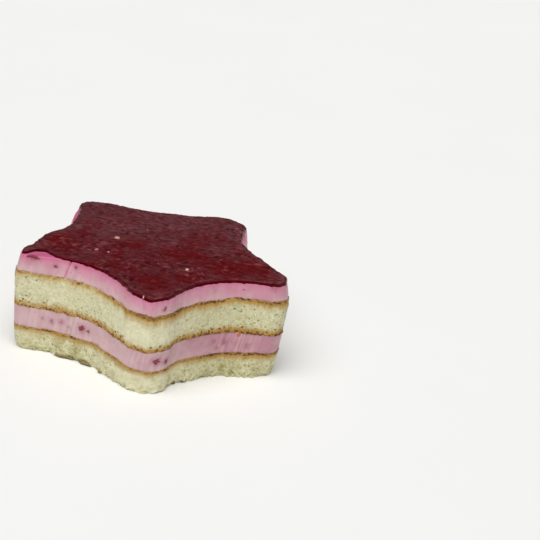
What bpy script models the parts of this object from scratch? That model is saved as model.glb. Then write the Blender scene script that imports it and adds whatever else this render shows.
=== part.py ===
"""Red berry entremet: a five-pointed star cut from two sponges and two mousses under a berry glaze.

Lengths are in metres and +Z is up. The front tip points along -Y and the right tip towards +X. The cake
stands on Z = 0 with the middle of its width and depth over the origin.
"""

import math
from collections.abc import Callable
from dataclasses import dataclass

import bmesh
import bpy
from mathutils import Matrix, Vector, noise

MM = 0.001

# Whole cake
HEIGHT = 40.2 * MM
FACE_GAP = 0.3 * MM
AROUND = 112  # stations round the outline, a multiple of 4 so that they meet a drum's corners
ARC_STEPS = 10


@dataclass(frozen=True)
class Corner:
    """One corner of the cutter: its distance and bearing from the star's middle, and its rounding."""

    reach: float
    bearing: float
    rounding: float

    @property
    def point(self):
        angle = math.radians(self.bearing)
        return Vector((self.reach * math.cos(angle), self.reach * math.sin(angle)))


# Tips and the hollows between them, anticlockwise
FRONT_TIP = Corner(57.2 * MM, -86.5, 9.4 * MM)
FRONT_RIGHT_HOLLOW = Corner(31.5 * MM, -50.5, 31.0 * MM)
RIGHT_TIP = Corner(60.0 * MM, -20.0, 5.9 * MM)
BACK_RIGHT_HOLLOW = Corner(31.5 * MM, 17.9, 44.0 * MM)
BACK_RIGHT_TIP = Corner(54.4 * MM, 53.2, 10.2 * MM)
BACK_HOLLOW = Corner(31.6 * MM, 93.7, 43.3 * MM)
BACK_LEFT_TIP = Corner(56.5 * MM, 128.5, 8.3 * MM)
BACK_LEFT_HOLLOW = Corner(34.5 * MM, 163.0, 50.0 * MM)
LEFT_TIP = Corner(56.2 * MM, 203.2, 4.2 * MM)
FRONT_LEFT_HOLLOW = Corner(29.1 * MM, 231.7, 34.8 * MM)
CORNERS = (
    FRONT_TIP,
    FRONT_RIGHT_HOLLOW,
    RIGHT_TIP,
    BACK_RIGHT_HOLLOW,
    BACK_RIGHT_TIP,
    BACK_HOLLOW,
    BACK_LEFT_TIP,
    BACK_LEFT_HOLLOW,
    LEFT_TIP,
    FRONT_LEFT_HOLLOW,
)

# The soft sides swell between the board and the glaze: share of the height, distance outwards
SWELL = (
    (0.0, -0.3 * MM),
    (0.05, 0.3 * MM),
    (0.2, 0.9 * MM),
    (0.5, 1.6 * MM),
    (0.75, 2.3 * MM),
    (0.9, 1.1 * MM),
    (1.0, 0.0),
)
FOOT_SHIFT = Vector((-0.7 * MM, 0.4 * MM))  # how far the foot has slid under the top

# Places on the outline that were pushed out, or in where negative: x and y from the star's middle, how far
# the push reaches round it, and its depth at the top and at the foot
PUSHES = (
    (-42.4 * MM, -0.9 * MM, 6.0 * MM, 2.3 * MM, 0.3 * MM),
    (-46.5 * MM, -15.0 * MM, 4.0 * MM, -1.6 * MM, -0.9 * MM),
    (-40.3 * MM, 2.4 * MM, 5.0 * MM, 0.7 * MM, 0.2 * MM),
    (-33.6 * MM, 38.0 * MM, 5.0 * MM, 2.0 * MM, 0.5 * MM),
    (2.7 * MM, 36.0 * MM, 7.0 * MM, 0.9 * MM, 0.6 * MM),
    (12.0 * MM, 35.5 * MM, 6.0 * MM, -0.9 * MM, 0.0),
    (25.5 * MM, 39.5 * MM, 5.0 * MM, 1.1 * MM, 0.5 * MM),
    (31.5 * MM, 33.0 * MM, 5.0 * MM, 1.4 * MM, 0.6 * MM),
    (40.2 * MM, -0.5 * MM, 6.0 * MM, 0.9 * MM, 0.5 * MM),
    (32.6 * MM, 16.0 * MM, 4.0 * MM, -1.3 * MM, 0.0),
    (-12.5 * MM, -35.0 * MM, 6.0 * MM, 0.2 * MM, 1.5 * MM),
    (-2.5 * MM, -44.0 * MM, 5.0 * MM, 0.0, -1.0 * MM),
    (3.6 * MM, -48.0 * MM, 2.4 * MM, 1.1 * MM, 0.0),
    (2.5 * MM, -47.0 * MM, 7.0 * MM, 0.0, -1.1 * MM),
    (13.1 * MM, -37.0 * MM, 3.5 * MM, 0.0, -1.2 * MM),
    (20.7 * MM, -29.7 * MM, 6.0 * MM, 0.2 * MM, 0.9 * MM),
    (46.2 * MM, -18.3 * MM, 4.0 * MM, -0.3 * MM, -1.5 * MM),
    (-41.0 * MM, -23.7 * MM, 6.0 * MM, 1.0 * MM, -0.3 * MM),
    (-30.5 * MM, -25.5 * MM, 4.0 * MM, 0.6 * MM, 2.0 * MM),
    (-22.7 * MM, -26.9 * MM, 5.0 * MM, 0.0, 1.6 * MM),
)


@dataclass(frozen=True)
class Seam:
    """A face between two layers: its height, its rise from left to right and its sag at each tip."""

    height: float
    rise: float
    front_sag: float
    right_sag: float
    rear_sag: float


SAG_REACH = 14 * MM
SEAM_WAVE = 0.35 * MM
SEAM_WAVE_LENGTH = 22 * MM
BOARD = Seam(0.0, 0.0, 0.0, 0.0, 0.0)
LOWER_CRUST = Seam(10.3 * MM, 1.3 * MM, 0.8 * MM, 0.0, 0.2 * MM)
UPPER_CRUMB = Seam(18.7 * MM, 1.0 * MM, 1.4 * MM, 0.9 * MM, 0.6 * MM)
UPPER_CRUST = Seam(32.8 * MM, 1.2 * MM, 0.0, 0.8 * MM, 0.8 * MM)
MOUSSE_TOP = Seam(39.0 * MM, 0.2 * MM, 1.6 * MM, 1.2 * MM, 0.9 * MM)
GLAZE_TOP = Seam(HEIGHT, 0.2 * MM, 1.6 * MM, 1.0 * MM, 1.0 * MM)

# Crust, crumb and mousse on the cut sides
CRUST_PROUD = 0.3 * MM
CRUST_NARROWNESS = 4  # the higher, the closer the crust lines keep to a sponge's two faces
CRUMB_LUMPS = 0.2 * MM
CRUST_CRAGS = 0.55 * MM
CRAG_SIZE = 2.6 * MM
FOOT_WEAR = 0.3 * MM
FOOT_CHIPS = 1.3 * MM
FOOT_CHIP_SIZE = 5.5 * MM
FOOT_CHIP_HEIGHT = 2.4 * MM
KNIFE_WAVE = 0.25 * MM
KNIFE_WAVE_LENGTH = 6 * MM

# Glaze
RIM_ROUNDING = 0.6 * MM
RIM_ROUNDING_START = 0.4  # share of the glaze's thickness
RIM_LIP = 0.2 * MM
RIM_LIP_WAVE = 0.35 * MM
RIPPLE_DEPTH = 0.25 * MM
RIPPLE_LENGTH = 7 * MM
RIPPLE_WIDTH = 4.5 * MM
RIPPLE_FADE = 6  # the higher, the closer the ripples come to the rim

# Seeds on the glaze: x, y, turn in degrees
SEED_HALF_LENGTH = 1.15 * MM
SEED_HALF_WIDTH = 0.7 * MM
SEED_HALF_DEPTH = 0.6 * MM
SEEDS = (
    (-16.6 * MM, 5.5 * MM, 10.0),
    (12.3 * MM, -17.0 * MM, 55.0),
    (-18.1 * MM, -9.0 * MM, -25.0),
    (-22.7 * MM, -8.1 * MM, 20.0),
    (-6.5 * MM, 17.6 * MM, 80.0),
)


def linear(hex_colour):
    """An sRGB colour such as C8C3A1 as linear values with full alpha."""
    channels = []
    for start in (0, 2, 4):
        value = int(hex_colour[start : start + 2], 16) / 255
        channels.append(value / 12.92 if value <= 0.04045 else ((value + 0.055) / 1.055) ** 2.4)
    return (*channels, 1.0)


def material(name, hex_colour, roughness):
    """A Principled material for one layer."""
    made = bpy.data.materials.new(name)
    made.use_nodes = True
    shader = made.node_tree.nodes["Principled BSDF"]
    shader.inputs["Base Color"].default_value = linear(hex_colour)
    shader.inputs["Roughness"].default_value = roughness
    return made


def blend(table, at):
    """The value at one place in a table of rising places and values, joined by straight runs."""
    for (low, low_value), (high, high_value) in zip(table, table[1:]):
        if at <= high:
            share = max(0.0, (at - low) / (high - low))
            return low_value + share * (high_value - low_value)
    return table[-1][1]


def rounded_corner(before, corner, after):
    """Points along the arc that rounds one corner of the cutter."""
    into = (before.point - corner.point).normalized()
    out = (after.point - corner.point).normalized()
    half_angle = into.angle(out) / 2
    cut = corner.rounding / math.tan(half_angle)
    middle = corner.point + (into + out).normalized() * corner.rounding / math.sin(half_angle)
    start = corner.point + into * cut - middle
    sweep = start.angle_signed(corner.point + out * cut - middle)
    return [middle + Matrix.Rotation(-sweep * step / ARC_STEPS, 2) @ start for step in range(ARC_STEPS + 1)]


def cutter_outline():
    """The star's outline at the glaze, as AROUND points the same distance apart."""
    path = []
    for index, corner in enumerate(CORNERS):
        path += rounded_corner(CORNERS[index - 1], corner, CORNERS[(index + 1) % len(CORNERS)])
    path.append(path[0])
    lengths = [(end - start).length for start, end in zip(path, path[1:])]
    spacing = sum(lengths) / AROUND
    outline = []
    walked = 0.0
    for start, end, length in zip(path, path[1:], lengths):
        while len(outline) < AROUND and len(outline) * spacing < walked + length:
            outline.append(start.lerp(end, (len(outline) * spacing - walked) / length))
        walked += length
    return outline


def side_place(outline_point, height):
    """Where the plain side stands above one outline point, before any relief."""
    share = height / HEIGHT
    outwards = blend(SWELL, share)
    for x, y, reach, at_top, at_foot in PUSHES:
        away = (outline_point - Vector((x, y))).length
        outwards += (at_foot + share * (at_top - at_foot)) * math.exp(-((away / reach) ** 2))
    return outline_point + outline_point.normalized() * outwards + FOOT_SHIFT * (1 - share)


def box_middle(outline):
    """The middle of the cake's width and depth, at its most swollen level."""
    swollen = [side_place(point, height * HEIGHT) for point in outline for height, _ in SWELL]
    across = [point.x for point in swollen]
    along = [point.y for point in swollen]
    return Vector(((min(across) + max(across)) / 2, (min(along) + max(along)) / 2))


def seam_height(seam, place):
    """The height of a seam over one place in plan, from the star's own middle."""
    if seam is BOARD:
        return 0.0
    height = seam.height + seam.rise * place.x / (2 * RIGHT_TIP.reach)
    sags = (
        (FRONT_TIP, seam.front_sag),
        (RIGHT_TIP, seam.right_sag),
        (BACK_RIGHT_TIP, seam.rear_sag),
        (BACK_LEFT_TIP, seam.rear_sag),
    )
    for tip, sag in sags:
        height -= sag * math.exp(-(((place - tip.point).length / SAG_REACH) ** 2))
    wave = noise.noise(Vector((*(place / SEAM_WAVE_LENGTH), seam.height / MM)))
    return height + SEAM_WAVE * wave


def rough(place, height, size):
    """Even lumps of one size, from -1 to 1."""
    return noise.noise(Vector((*place, height)) / size)


def sponge_relief(place, height, level):
    """Crust lines stand proud in crags along both faces, and the crumb between lies flatter."""
    edge = abs(2 * level - 1) ** CRUST_NARROWNESS
    lumps = CRUMB_LUMPS + edge * CRUST_CRAGS
    return edge * CRUST_PROUD + lumps * rough(place, height, CRAG_SIZE)


def foot_relief(place, height, level):
    """The lower sponge is torn and chipped along the board."""
    near_board = max(0.0, 1 - height / FOOT_CHIP_HEIGHT)
    torn = FOOT_WEAR + FOOT_CHIPS * rough(place, height, FOOT_CHIP_SIZE)
    return sponge_relief(place, height, level) - near_board * torn


def mousse_relief(place, height, level):
    """The knife leaves shallow upright waves in the mousse."""
    return KNIFE_WAVE * rough(place, 0.0, KNIFE_WAVE_LENGTH)


def rim_relief(place, height, level):
    """The glaze laps a little over the mousse and rounds in to its top."""
    rounded = max(0.0, (level - RIM_ROUNDING_START) / (1 - RIM_ROUNDING_START))
    lip = RIM_LIP + RIM_LIP_WAVE * rough(place, 0.0, KNIFE_WAVE_LENGTH)
    return lip - RIM_ROUNDING * (1 - math.sqrt(1 - rounded**2))


def ripple(place, ring):
    """Low ripples on the set glaze, fading out at the rim."""
    lumps = noise.noise(Vector((place.x / RIPPLE_LENGTH, place.y / RIPPLE_WIDTH, 0.0)))
    return RIPPLE_DEPTH * lumps * (1 - ring**RIPPLE_FADE)


@dataclass(frozen=True)
class Layer:
    """One layer of the cake, from the seam under it to the seam over it."""

    name: str
    under: Seam
    over: Seam
    relief: Callable
    levels: tuple  # shares of its side's height that carry an edge loop
    rings: tuple  # shares of the way out from the middle that carry one on its top, outermost first
    hex_colour: str
    roughness: float

    def place(self, outline_point, ring, level):
        """The point of this layer at one station, ring and level, from the star's own middle."""
        nominal = self.under.height + level * (self.over.height - self.under.height)
        plan = side_place(outline_point, nominal) * ring
        low = seam_height(self.under, plan)
        low += 0.0 if self.under is BOARD else FACE_GAP / 2
        high = seam_height(self.over, plan)
        high += ripple(plan, ring) if self.over is GLAZE_TOP else -FACE_GAP / 2
        height = low + level * (high - low)
        if ring == 1.0:
            plan = plan + plan.normalized() * self.relief(plan, height, level)
        return Vector((plan.x, plan.y, height))


SPONGE_LEVELS = (0.1, 0.3, 0.7, 0.9)
MOUSSE_LEVELS = (0.5,)
GLAZE_LEVELS = (RIM_ROUNDING_START, 0.8)
HIDDEN = (0.6,)  # rings on a face that another layer hides
GLAZE_RINGS = (0.96, 0.87, 0.76, 0.64, 0.5, 0.36, 0.2)
LAYERS = (
    Layer("sponge_lower", BOARD, LOWER_CRUST, foot_relief, SPONGE_LEVELS, HIDDEN, "C4BF98", 0.85),
    Layer("mousse_lower", LOWER_CRUST, UPPER_CRUMB, mousse_relief, MOUSSE_LEVELS, HIDDEN, "C494A2", 0.5),
    Layer("sponge_upper", UPPER_CRUMB, UPPER_CRUST, sponge_relief, SPONGE_LEVELS, HIDDEN, "C8C39F", 0.85),
    Layer("mousse_upper", UPPER_CRUST, MOUSSE_TOP, mousse_relief, MOUSSE_LEVELS, HIDDEN, "C490A2", 0.5),
    Layer("berry_glaze", MOUSSE_TOP, GLAZE_TOP, rim_relief, GLAZE_LEVELS, GLAZE_RINGS, "5D2226", 0.15),
)


def ringed_cap(drum, cap, rings):
    """Inset a cap ring by ring towards the middle and close it with a fan."""
    apothem = math.cos(math.pi / AROUND)
    for outer, inner in zip((1.0, *rings), rings):
        bmesh.ops.inset_individual(drum, faces=[cap], thickness=(outer - inner) * apothem)
    bmesh.ops.poke(drum, faces=[cap])


def drum_for(layer):
    """A unit drum on Z = 0 with a loop at each of the layer's levels and rings."""
    drum = bmesh.new()
    raised = Matrix.Translation((0, 0, 0.5))
    bmesh.ops.create_cone(
        drum, cap_ends=True, segments=AROUND, radius1=1, radius2=1, depth=1, matrix=raised
    )
    for level in layer.levels:
        everything = drum.verts[:] + drum.edges[:] + drum.faces[:]
        bmesh.ops.bisect_plane(drum, geom=everything, plane_co=(0, 0, level), plane_no=(0, 0, 1))
    caps = [face for face in drum.faces if len(face.verts) == AROUND]
    caps.sort(key=lambda face: face.normal.z)
    ringed_cap(drum, caps[0], HIDDEN)
    ringed_cap(drum, caps[1], layer.rings)
    bmesh.ops.recalc_face_normals(drum, faces=drum.faces)
    return drum


def mould(layer, outline, middle):
    """The layer's mesh: its drum with every corner moved to its place in the star."""
    drum = drum_for(layer)
    for vert in drum.verts:
        station = round(math.atan2(vert.co.y, vert.co.x) / math.tau * AROUND) % AROUND
        place = layer.place(outline[station], round(vert.co.xy.length, 3), round(vert.co.z, 3))
        vert.co = place - Vector((*middle, 0))
    mesh = bpy.data.meshes.new(layer.name)
    drum.to_mesh(mesh)
    drum.free()
    mesh.shade_smooth()
    mesh.set_sharp_from_angle(angle=math.radians(40))
    return mesh


def add_layer(layer, outline, middle, cake):
    """One layer as an object of the cake."""
    mesh = mould(layer, outline, middle)
    mesh.materials.append(material(layer.name, layer.hex_colour, layer.roughness))
    made = bpy.data.objects.new(layer.name, mesh)
    cake.objects.link(made)
    return made


def add_seed(x, y, turn, middle, seeds):
    """One berry seed, half sunk in the top of the glaze."""
    level = seam_height(GLAZE_TOP, Vector((x, y)) + middle)
    place = Matrix.Translation((x, y, level)) @ Matrix.Rotation(math.radians(turn), 4, "Z")
    shape = Matrix.Diagonal((SEED_HALF_LENGTH, SEED_HALF_WIDTH, SEED_HALF_DEPTH, 1))
    ball = bmesh.new()
    bmesh.ops.create_uvsphere(ball, u_segments=6, v_segments=4, radius=1, matrix=place @ shape)
    mesh = bpy.data.meshes.new("seed")
    ball.to_mesh(mesh)
    ball.free()
    seeds.objects.link(bpy.data.objects.new("seed", mesh))


def fuse_seeds(glaze, middle):
    """Join the seeds to the glaze and remove the loose ones."""
    seeds = bpy.data.collections.new("seeds")
    bpy.context.scene.collection.children.link(seeds)
    for x, y, turn in SEEDS:
        add_seed(x, y, turn, middle, seeds)
    union = glaze.modifiers.new("seeds", "BOOLEAN")
    union.operation = "UNION"
    union.operand_type = "COLLECTION"
    union.collection = seeds
    fused = bpy.data.meshes.new_from_object(glaze.evaluated_get(bpy.context.evaluated_depsgraph_get()))
    glaze.modifiers.remove(union)
    plain = glaze.data
    glaze.data = fused
    glaze.data.name = plain.name
    bpy.data.meshes.remove(plain)
    for seed in list(seeds.objects):
        bpy.data.meshes.remove(seed.data)
    bpy.data.collections.remove(seeds)


def main():
    """Clear the scene and build the cake from the board up."""
    for old in list(bpy.data.objects):
        bpy.data.objects.remove(old)
    cake = bpy.data.collections.new("red_berry_entremet")
    bpy.context.scene.collection.children.link(cake)
    outline = cutter_outline()
    middle = box_middle(outline)
    made = [add_layer(layer, outline, middle, cake) for layer in LAYERS]
    fuse_seeds(made[-1], middle)


main()
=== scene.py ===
"""Red berry entremet, dressed as it is photographed: a single star cake on a white table.

Two sponges and two berry mousses, cut with a star cutter, stand under a set berry glaze. The front tip points along
-Y, the right tip towards +X, and the cake stands on Z = 0 of the CAD frame. Lengths are in millimetres, and the
moulding turns them to metres.
"""

import logging
import math
from dataclasses import dataclass, replace
from enum import Enum
from typing import Any

import bmesh
import bpy
import numpy as np
from mathutils import Matrix, Vector, noise


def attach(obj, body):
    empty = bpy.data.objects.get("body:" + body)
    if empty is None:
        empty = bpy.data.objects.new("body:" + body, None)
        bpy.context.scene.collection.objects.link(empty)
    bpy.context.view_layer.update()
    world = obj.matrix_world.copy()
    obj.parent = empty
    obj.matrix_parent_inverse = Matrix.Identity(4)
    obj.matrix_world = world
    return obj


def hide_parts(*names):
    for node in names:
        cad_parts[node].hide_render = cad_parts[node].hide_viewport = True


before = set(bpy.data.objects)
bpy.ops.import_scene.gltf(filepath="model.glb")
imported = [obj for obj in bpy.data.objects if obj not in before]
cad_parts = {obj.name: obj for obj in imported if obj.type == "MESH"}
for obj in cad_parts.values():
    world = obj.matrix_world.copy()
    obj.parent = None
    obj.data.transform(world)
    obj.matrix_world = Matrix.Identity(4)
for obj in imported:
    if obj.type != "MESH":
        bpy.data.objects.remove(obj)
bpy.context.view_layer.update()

LOG = logging.getLogger("entremet")
MM = 0.001
BODY = "root"
HEIGHT = 40.2  # of the cake without its seeds
CAD_STATIONS = 112  # points round the CAD outline, which set the cake's middle
SIDE_STATIONS = 1120  # points round the side, among which a mark or scrap finds its place
ARC_STEPS = 10
PIT_RADIUS = 0.42  # of the distance between pits
PIT_SPREAD = 0.1
LOT_PITCH = 9.7  # spreads the draw that says which cells hold a pit
RADIUS_PITCH = 5.3
SCRAP_LUMPS = 3.1  # lumps across a scrap
MIX_A, MIX_B, MIX_RESULT = 6, 7, 2  # the colour sockets of a Mix node
Array = np.ndarray
Step = tuple[float, float]  # where a soft step starts and where it ends
FRONT: Step = (10.0, -5.0)  # from the middle to the front, by y
Shares = tuple[tuple[float, float], ...]  # a value at each of some places across the cake
Colour = tuple[float, float, float, float]
Tree = bpy.types.NodeTree
Socket = bpy.types.NodeSocket
Coats = tuple[tuple[Socket, str], ...]  # the share of each colour that lies over those before it
Painted = tuple[Colour | Socket, Coats, Socket | None]


class Slot(Enum):
    """The record's material slots."""

    SPONGE = "sponge"
    MOUSSE = "mousse"
    GLAZE = "glaze"


def linear(hex_colour: str) -> Colour:
    """Turn an sRGB hex colour into linear values.

    Args:
        hex_colour: six digits, such as C8C39F.

    Returns:
        Red, green, blue and a full alpha.
    """
    channels = []
    for start in (0, 2, 4):
        value = int(hex_colour[start : start + 2], 16) / 255
        channels.append(value / 12.92 if value <= 0.04045 else ((value + 0.055) / 1.055) ** 2.4)
    return (*channels, 1.0)


def per_metre(size_mm: float) -> float:
    """The texture scale that gives a pattern one repeat in this many millimetres."""
    return 1.0 / (size_mm * MM)


def add_node(
    tree: Tree,
    kind: str,
    sockets: dict[str | int, Any] | None = None,
    out: str | int = 0,
    **settings: Any,
) -> Socket:
    """Add one node with its settings and its links.

    Args:
        tree: the node tree that it goes in.
        kind: the node's type, without the ShaderNode that it begins with.
        sockets: for each input, by name or place, the value to set or the output to link from.
        out: the output to return, by name or place.
        settings: the node's own settings.

    Returns:
        That output.
    """
    node = tree.nodes.new("ShaderNode" + kind)
    for name, value in settings.items():
        setattr(node, name, value)
    for key, value in (sockets or {}).items():
        if isinstance(value, Socket):
            tree.links.new(value, node.inputs[key])
        else:
            node.inputs[key].default_value = value
    return node.outputs[out]


def smooth(low: float, high: float, value: Array) -> Array:
    """A soft step from 0 at low to 1 at high; it falls instead where low is above high."""
    share = np.clip((value - low) / (high - low), 0.0, 1.0)
    return share * share * (3 - 2 * share)


def fade(away: Array, reach: float | Array) -> Array:
    """A soft bell, 1 where away is 0 and next to nothing at twice its reach."""
    return np.exp(-((away / reach) ** 2))


def lengths(rows: Array) -> Array:
    """How long each row is."""
    return np.linalg.norm(rows, axis=1)


def at_height(points: Array, height: float) -> Array:
    """The same rows of x and y, all at one height."""
    return np.column_stack([points[:, :2], np.full(len(points), height)])


def lumps(points: Array, size: float, draw: float = 0.0) -> Array:
    """Even lumps of one size.

    Args:
        points: rows of x, y and z.
        size: the distance between lumps, in the points' unit.
        draw: a shift that gives another draw of the same lumps.

    Returns:
        A value from -1 to 1 for each row.
    """
    return np.array([noise.noise(point) for point in (points / size + draw).tolist()])


def pits(points: Array, size: float, share: Array, draw: float = 0.0) -> Array:
    """Round pits of about one size, scattered over some of the cells.

    Args:
        points: rows of x, y and z.
        size: the distance between pits.
        share: for each row, how many of the cells hold a pit, from 0 to 1.
        draw: a shift that gives another draw.

    Returns:
        A value from 0 on the surface to 1 at the bottom of a pit for each row.
    """
    depths = []
    for point, chance in zip((points / size + draw).tolist(), share.tolist()):
        distances, centres = noise.voronoi(point)
        lot = 0.5 + 0.5 * noise.cell(centres[0] * LOT_PITCH)
        radius = PIT_RADIUS + PIT_SPREAD * noise.cell(centres[0] * RADIUS_PITCH)
        held = 1.0 if lot < chance else 0.0
        depths.append(held * max(0.0, 1 - (distances[0] / radius) ** 2))
    return np.array(depths)


@dataclass(frozen=True)
class Lumps:
    """Even lumps: how strong they are, how far apart in millimetres, and which draw of them."""

    strength: float
    size: float
    draw: float = 0.0

    def over(self, points: Array, shift: float = 0.0) -> Array:
        """The lumps at each row of points, from minus to plus their strength."""
        return self.strength * lumps(points, self.size, self.draw + shift)


def total(layers: tuple[Lumps, ...], points: Array) -> Array:
    """Several kinds of lumps together, at each row of points."""
    return sum(layer.over(points) for layer in layers)


# The form that all the layers share.


@dataclass(frozen=True)
class Corner:
    """One corner of the star cutter: its distance and bearing from the star's middle, and its rounding."""

    reach: float
    bearing: float
    rounding: float

    @property
    def point(self) -> Vector:
        """The corner before it is rounded."""
        angle = math.radians(self.bearing)
        return Vector((self.reach * math.cos(angle), self.reach * math.sin(angle)))


@dataclass(frozen=True)
class Seam:
    """A face between two layers: its height, its rise from left to right and its sag at the tips."""

    height: float
    rise: float
    front_sag: float
    right_sag: float
    rear_sag: float
    crag_height: float = 0.0


@dataclass(frozen=True)
class Bulge:
    """A place on the outline, from the star's middle, that was pushed out, or in where it is negative."""

    x: float
    y: float
    reach: float
    at_top: float
    at_foot: float


BOARD = Seam(0.0, 0.0, 0.0, 0.0, 0.0)
LOWER_CRUST = Seam(10.3, 1.3, 0.8, 0.0, 0.2, 0.3)
UPPER_CRUMB = Seam(18.7, 1.0, 1.4, 0.9, 0.6, 0.3)
UPPER_CRUST = Seam(32.8, 1.2, 0.0, 0.8, 0.8, 0.5)
MOUSSE_TOP = Seam(39.0, 0.2, 1.6, 1.2, 0.9)
GLAZE_TOP = Seam(HEIGHT, 0.2, 1.6, 1.0, 1.0)
BULGES = (
    Bulge(-42.4, -0.9, 6.0, 2.3, 0.3),
    Bulge(-46.5, -15.0, 4.0, -1.6, -0.9),
    Bulge(-40.3, 2.4, 5.0, 0.7, 0.2),
    Bulge(-33.6, 38.0, 5.0, 2.0, 0.5),
    Bulge(2.7, 36.0, 7.0, 0.9, 0.6),
    Bulge(12.0, 35.5, 6.0, -0.9, 0.0),
    Bulge(25.5, 39.5, 5.0, 1.1, 0.5),
    Bulge(31.5, 33.0, 5.0, 1.4, 0.6),
    Bulge(40.2, -0.5, 6.0, 0.9, 0.5),
    Bulge(32.6, 16.0, 4.0, -1.3, 0.0),
    Bulge(-12.5, -35.0, 6.0, 0.2, 1.5),
    Bulge(-2.5, -44.0, 5.0, 0.0, -1.0),
    Bulge(3.6, -48.0, 2.4, 1.1, 0.0),
    Bulge(2.5, -47.0, 7.0, 0.0, -1.1),
    Bulge(13.1, -37.0, 3.5, 0.0, -1.2),
    Bulge(20.7, -29.7, 6.0, 0.2, 0.9),
    Bulge(46.2, -18.3, 4.0, -0.3, -1.5),
    Bulge(-41.0, -23.7, 6.0, 1.0, -0.3),
    Bulge(-30.5, -25.5, 4.0, 0.6, 2.0),
    Bulge(-22.7, -26.9, 5.0, 0.0, 1.6),
)


@dataclass(frozen=True)
class CakeForm:
    """The star as it was cut, with its corners anticlockwise, and how its soft sides stand."""

    front_tip: Corner = Corner(57.2, -86.5, 9.4)
    front_right_hollow: Corner = Corner(31.5, -50.5, 31.0)
    right_tip: Corner = Corner(60.0, -20.0, 5.9)
    back_right_hollow: Corner = Corner(31.5, 17.9, 44.0)
    back_right_tip: Corner = Corner(54.4, 53.2, 10.2)
    back_hollow: Corner = Corner(31.6, 93.7, 43.3)
    back_left_tip: Corner = Corner(56.5, 128.5, 8.3)
    back_left_hollow: Corner = Corner(34.5, 163.0, 50.0)
    left_tip: Corner = Corner(56.2, 203.2, 4.2)
    front_left_hollow: Corner = Corner(29.1, 231.7, 34.8)
    swell_shares: tuple[float, ...] = (0.0, 0.05, 0.2, 0.5, 0.75, 0.9, 1.0)
    swell: tuple[float, ...] = (-0.3, 0.3, 0.9, 1.6, 2.3, 1.1, 0.0)
    foot_shift: tuple[float, float] = (-0.7, 0.4)
    sag_reach: float = 14.0
    seam_wave: float = 0.35
    seam_wave_length: float = 22.0

    @property
    def corners(self) -> tuple[Corner, ...]:
        """The corners in the order of their fields, from the front tip."""
        return tuple(value for value in vars(self).values() if isinstance(value, Corner))

    def rounded_corner(self, index: int) -> list[Vector]:
        """Points along the arc that rounds one corner.

        Args:
            index: the corner's place among the corners.

        Returns:
            The arc's points, anticlockwise.
        """
        corners = self.corners
        corner = corners[index]
        into = (corners[index - 1].point - corner.point).normalized()
        out = (corners[(index + 1) % len(corners)].point - corner.point).normalized()
        half_angle = into.angle(out) / 2
        cut = corner.rounding / math.tan(half_angle)
        middle = corner.point + (into + out).normalized() * corner.rounding / math.sin(half_angle)
        start = corner.point + into * cut - middle
        sweep = start.angle_signed(corner.point + out * cut - middle)
        return [middle + Matrix.Rotation(-sweep * step / ARC_STEPS, 2) @ start for step in range(ARC_STEPS + 1)]

    def outline(self, around: int) -> Array:
        """The star's outline at the glaze.

        Args:
            around: how many points the same distance apart.

        Returns:
            Rows of x and y from the star's own middle, anticlockwise from the front tip.
        """
        path = [point for index in range(len(self.corners)) for point in self.rounded_corner(index)]
        path.append(path[0])
        walked = np.cumsum([0.0] + [(end - start).length for start, end in zip(path, path[1:])])
        stops = np.arange(around) * walked[-1] / around
        return np.stack([np.interp(stops, walked, [point[axis] for point in path]) for axis in (0, 1)], axis=1)

    def side(self, outline: Array, height: Array) -> Array:
        """Where the plain side stands, before any relief.

        Args:
            outline: rows of x and y.
            height: the height over each row.

        Returns:
            Rows of x and y at those heights.
        """
        share = (height / HEIGHT)[:, None]
        out = outline / lengths(outline)[:, None]
        push = np.interp(share, self.swell_shares, self.swell)
        for bulge in BULGES:
            away = lengths(outline - (bulge.x, bulge.y))[:, None]
            held = bulge.at_foot + share * (bulge.at_top - bulge.at_foot)
            push = push + held * fade(away, bulge.reach)
        swollen = outline + out * push
        return swollen + np.array(self.foot_shift) * (1 - share)

    def middle(self) -> Array:
        """The middle of the cake's box, measured from the star's own middle.

        Returns:
            Its x and y.
        """
        outline = self.outline(CAD_STATIONS)
        levels = [self.side(outline, np.full(CAD_STATIONS, share * HEIGHT)) for share in self.swell_shares]
        swollen = np.concatenate(levels)
        return (swollen.min(axis=0) + swollen.max(axis=0)) / 2

    def seam(self, seam: Seam, plan: Array) -> Array:
        """The height of a seam.

        Args:
            seam: which one.
            plan: rows of x and y from the star's own middle.

        Returns:
            The height over each row.
        """
        if seam is BOARD:
            return np.zeros(len(plan))
        height = seam.height + seam.rise * plan[:, 0] / (2 * self.right_tip.reach)
        sags = (
            (self.front_tip, seam.front_sag),
            (self.right_tip, seam.right_sag),
            (self.back_right_tip, seam.rear_sag),
            (self.back_left_tip, seam.rear_sag),
        )
        for tip, sag in sags:
            height = height - sag * fade(lengths(plan - np.array(tip.point)), self.sag_reach)
        waved = at_height(plan / self.seam_wave_length, seam.height)
        return height + self.seam_wave * lumps(waved, 1.0)


FORM = CakeForm()
MIDDLE = FORM.middle()


def side_place(x: float, y: float, z: float) -> tuple[Array, Array]:
    """Find the plain cut side nearest to a place.

    Args:
        x: across the cake in the CAD frame, in millimetres.
        y: along it.
        z: the height.

    Returns:
        The place on the side, and the direction in which the side faces there.
    """
    outline = FORM.outline(SIDE_STATIONS)
    side = FORM.side(outline, np.full(len(outline), z)) - MIDDLE
    nearest = int(np.argmin(lengths(side - (x, y))))
    ahead = side[(nearest + 1) % len(side)] - side[nearest - 1]
    facing = np.array((ahead[1], -ahead[0])) / np.linalg.norm(ahead)
    return np.array((*side[nearest], z)), np.array((*facing, 0.0))


# Marks on the cake, and where they are.


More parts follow.
